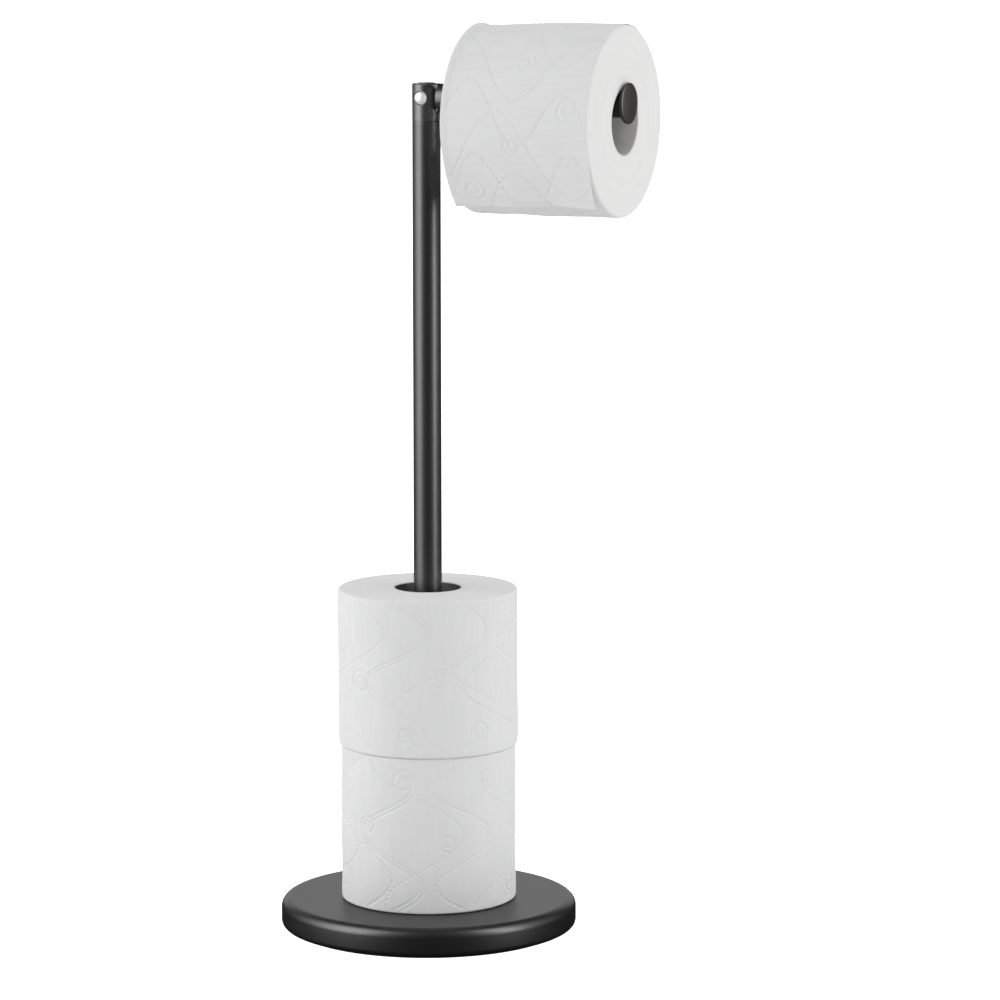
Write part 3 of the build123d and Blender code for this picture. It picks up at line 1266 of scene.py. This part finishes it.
@dataclass
class LooseEnd:
    """The last sheet of the roll in use: on the roll over the top, then free at the front."""

    roll: PaperRoll
    start_angle: float = math.radians(70)
    near_leave: float = math.radians(186)
    far_leave: float = math.radians(198)
    side_margin: float = 0.1 * MM
    hidden: float = 0.5 * MM
    proud: float = 0.22 * MM
    rise: float = math.radians(22)
    near_radius: float = 92 * MM
    far_radius: float = 82 * MM
    near_length: float = 46.0 * MM
    far_length: float = 41.0 * MM
    corner_start: float = 0.72
    corner_lift: float = 2.6 * MM
    ripple: float = 0.35 * MM
    ripple_waves: float = 2.3
    ripple_phase: float = 0.2
    tooth: float = 0.22 * MM
    thickness: float = 0.16 * MM
    columns: int = 132
    rows: int = 232

    def build(self) -> bpy.types.Object:
        """Make the sheet from a flat grid.

        Returns:
            The sheet.
        """
        roll = self.roll
        radius = roll.radius - roll.skin

        def place(column: np.ndarray, row: np.ndarray) -> np.ndarray:
            """Lay each point of the sheet on the roll or on its free curve.

            Args:
                column: Each vertex's column, across the sheet.
                row: Each vertex's row, down the sheet.

            Returns:
                The points.
            """
            share, down = column / self.columns, row / self.rows
            along = self.side_margin + share * (roll.width - 2 * self.side_margin)
            free_length = self.far_length + (self.near_length - self.far_length) * share
            leave = self.far_leave + (self.near_leave - self.far_leave) * share
            wrap = radius * (leave - self.start_angle)
            travel = down * (wrap + free_length)
            free = np.maximum(travel - wrap, 0.0)
            on_roll = self.start_angle + np.minimum(travel, wrap) / radius
            entry = np.clip((on_roll - self.start_angle) / self.rise, 0, 1)
            entry = entry * entry * (3 - 2 * entry)
            lift = -self.hidden + (self.hidden + self.proud) * entry
            bend = self.far_radius + (self.near_radius - self.far_radius) * share
            turned = on_roll + free / bend
            base = np.where(free > 0, radius + lift - bend, 0.0)
            reach = np.where(free > 0, bend, radius + lift)
            flat = base * np.cos(leave) + reach * np.cos(turned)
            up = base * np.sin(leave) + reach * np.sin(turned)
            pressed = roll.relief(self.start_angle + travel / radius, along)
            rim = np.minimum(along, roll.width - along)
            weight = roll.grip(rim - roll.edge)
            away = free / free_length
            beyond = np.clip((share - self.corner_start) / (1 - self.corner_start), 0, 1)
            corner = beyond**2 * away**1.5
            waves = 2 * np.pi * (share * self.ripple_waves + self.ripple_phase)
            ripple = self.ripple * away * np.sin(waves)
            out = pressed * weight + corner * self.corner_lift + ripple
            edge = row == self.rows
            teeth = np.where(edge, self.tooth * np.where(column % 2 == 0, 1, -1), 0.0)
            flat = flat + out * np.cos(turned) - teeth * np.sin(turned)
            up = up + out * np.sin(turned) + teeth * np.cos(turned)
            length = along + roll.sink(along) + roll.start
            return np.stack([length, flat + roll.centre[1], up + roll.centre[2]], axis=1)

        piece = woven_grid("arm_roll_loose_end", self.columns, self.rows, place)
        finish_modifier(piece, "SOLIDIFY", thickness=self.thickness, offset=0.0)
        close_up(piece)
        smooth(piece, angle=60)
        dress(piece, roll.side_finish())
        settle(piece, roll.body, "arm_roll_tail")
        return piece


# ---------------------------------------------------------------- studio


@dataclass(frozen=True)
class SoftBox:
    """An area light, which either shows in reflections or only lights matt surfaces.

    Its direction is in degrees to the camera's right, its width and height are its own, its
    reach is its distance from the post, and it stands at one height and looks at another.
    """

    name: str
    around: float
    width: float
    power: float
    height: float = 1.6
    reach: float = 1.3
    stands: float = 0.75
    looks_at: float = 0.35
    mirror: bool = True

    def add(self, azimuth: float) -> None:
        """Add the light to the scene.

        Args:
            azimuth: The camera's direction in degrees.
        """
        data = bpy.data.lights.new(self.name, "AREA")
        data.shape, data.size, data.size_y = "RECTANGLE", self.width, self.height
        data.energy = self.power
        light = bpy.data.objects.new(self.name, data)
        bpy.context.scene.collection.objects.link(light)
        around = math.radians(azimuth + self.around)
        place = Vector((self.reach * math.sin(around), -self.reach * math.cos(around), self.stands))
        aim = Vector((0, 0, self.looks_at)) - place
        light.location = place
        light.rotation_euler = aim.to_track_quat("-Z", "Y").to_euler()
        light.visible_camera = False
        light.visible_diffuse = not self.mirror
        light.visible_glossy = self.mirror


def matt_light(name: str, around: float, width: float, power: float, **place: float) -> SoftBox:
    """Return a soft box that lights only matt surfaces."""
    return SoftBox(name, around, width, power, 1.0, looks_at=0.3, mirror=False, **place)


SOFT_BOXES = (
    SoftBox("left_mirror_box", -62, 0.85, 52),
    SoftBox("left_middle_mirror_box", -88, 0.40, 14),
    SoftBox("left_far_mirror_box", -107, 0.42, 3.5),
    SoftBox("right_mirror_strip", 63, 0.40, 42),
    SoftBox("right_mirror_fill", 95, 0.95, 4.0),
    SoftBox("backdrop_mirror_box", 180, 2.4, 10.0, 1.3, reach=2.0, stands=0.55, looks_at=0.1),
    matt_light("left_soft_light", -104, 0.8, 7.5, reach=1.7, stands=0.5),
    matt_light("right_soft_light", 100, 0.8, 6, reach=1.7, stands=0.5),
    matt_light("front_soft_light", 0, 1.2, 6, reach=2.6, stands=0.4),
)


@dataclass
class Studio:
    """Camera, soft lights and a pale floor."""

    distance: float = 3.06
    azimuth: float = 25.0
    height: float = 0.746
    pitch: float = 8.722
    yaw: float = 0.868
    roll: float = 0.05
    lens: float = 175.6

    def camera(self) -> None:
        """Place the camera and make it the scene's."""
        data = bpy.data.cameras.new("camera")
        data.lens, data.sensor_width = self.lens, 36.0
        data.clip_start, data.clip_end = 0.05, 100.0
        camera = bpy.data.objects.new("camera", data)
        bpy.context.scene.collection.objects.link(camera)
        around = math.radians(self.azimuth)
        camera.location = (
            self.distance * math.sin(around),
            -self.distance * math.cos(around),
            self.height,
        )
        camera.rotation_mode = "XYZ"
        tilt = math.radians(90 - self.pitch)
        camera.rotation_euler = (tilt, math.radians(self.roll), math.radians(self.azimuth - self.yaw))
        bpy.context.scene.camera = camera

    def world(self, seen: float, lighting: float) -> None:
        """Make a plain white surround that reflections don't see.

        Args:
            seen: Its strength as the camera sees it.
            lighting: Its strength as a light on matt surfaces.
        """
        world = bpy.data.worlds.new("surround")
        bpy.context.scene.world = world
        world.use_nodes = True
        world.cycles_visibility.glossy = False
        wiring = Wiring(world.node_tree)
        path = wiring.add("LightPath").outputs
        direct = wiring.math("MULTIPLY", path["Is Camera Ray"], seen - lighting)
        strength = wiring.math("ADD", direct, lighting)
        background = world.node_tree.nodes["Background"]
        world.node_tree.links.new(strength, background.inputs["Strength"])
        background.inputs["Color"].default_value = (1, 1, 1, 1)

    def floor(self, mirrored: float, glow: float) -> None:
        """Add the pale floor.

        Args:
            mirrored: Its brightness in reflections.
            glow: What is added to it as the camera sees it.
        """
        deselect()
        bpy.ops.mesh.primitive_plane_add(size=60, location=(0, 0, -0.02 * MM))
        floor = bpy.context.object
        floor.name = "floor"
        made = bpy.data.materials.new("pale_floor")
        made.use_nodes = True
        wiring = Wiring(made.node_tree)
        shader = made.node_tree.nodes["Principled BSDF"]
        shader.inputs["Base Color"].default_value = (0.8, 0.8, 0.8, 1)
        shader.inputs["Roughness"].default_value = 1.0
        shader.inputs["Specular IOR Level"].default_value = 0.0
        path = wiring.add("LightPath").outputs
        bright = wiring.math("MULTIPLY", path["Is Camera Ray"], glow)
        shine = wiring.add("Emission", {"Color": (1, 1, 1, 1), "Strength": bright})
        seen = wiring.add("AddShader", {0: shader.outputs[0], 1: shine.outputs[0]})
        dim = wiring.add("Emission", {"Color": (1, 1, 1, 1), "Strength": mirrored})
        mix = wiring.add(
            "MixShader", {0: path["Is Glossy Ray"], 1: seen.outputs[0], 2: dim.outputs[0]}
        )
        out = made.node_tree.nodes["Material Output"]
        made.node_tree.links.new(mix.outputs[0], out.inputs["Surface"])
        floor.data.materials.append(made)

    def build(self) -> None:
        """Set up the whole studio."""
        bpy.context.scene.view_settings.view_transform = "Standard"
        self.camera()
        self.world(seen=1.3, lighting=0.70)
        self.floor(mirrored=0.012, glow=1.3)
        for box in SOFT_BOXES:
            box.add(self.azimuth)


def main() -> None:
    """Build the holder's pieces in order, then the studio."""
    logging.basicConfig(level=logging.INFO, format="%(name)s: %(message)s")
    Base().build()
    Tube("post_tube", "stand", "post_pipe", Axis.Z).build()
    Tube("arm_tube", "arm", "arm_pipe", Axis.X).build()
    Knob().build()
    Hinge().build()
    # The reserve rolls' near-black core colours are painted shade for the dark inside of their holes.
    reserve = {
        "edge": 1.3 * MM,
        "board_and_shade_dark": (0.035, 0.034, 0.032),
        "board_and_shade_light": (0.055, 0.053, 0.050),
    }
    reserve_rolls = (("lower_roll", 8, 11), ("upper_roll", 100, 23))
    for name, seam, seed in reserve_rolls:
        pressed = Embossing(strength=1.2, seed=seed)
        PaperRoll(
            name, name, Axis.Z, math.radians(seam), seed, embossing=pressed, **reserve
        ).build()
    arm_roll = PaperRoll(
        "arm_roll", "arm_roll", Axis.X, math.radians(90), 37,
        embossing=Embossing(strength=1.2), slack=3.0 * MM, dish=1.6 * MM,
    )
    arm_roll.build()
    LooseEnd(arm_roll).build()
    Studio().build()


if __name__ == "__main__":
    main()
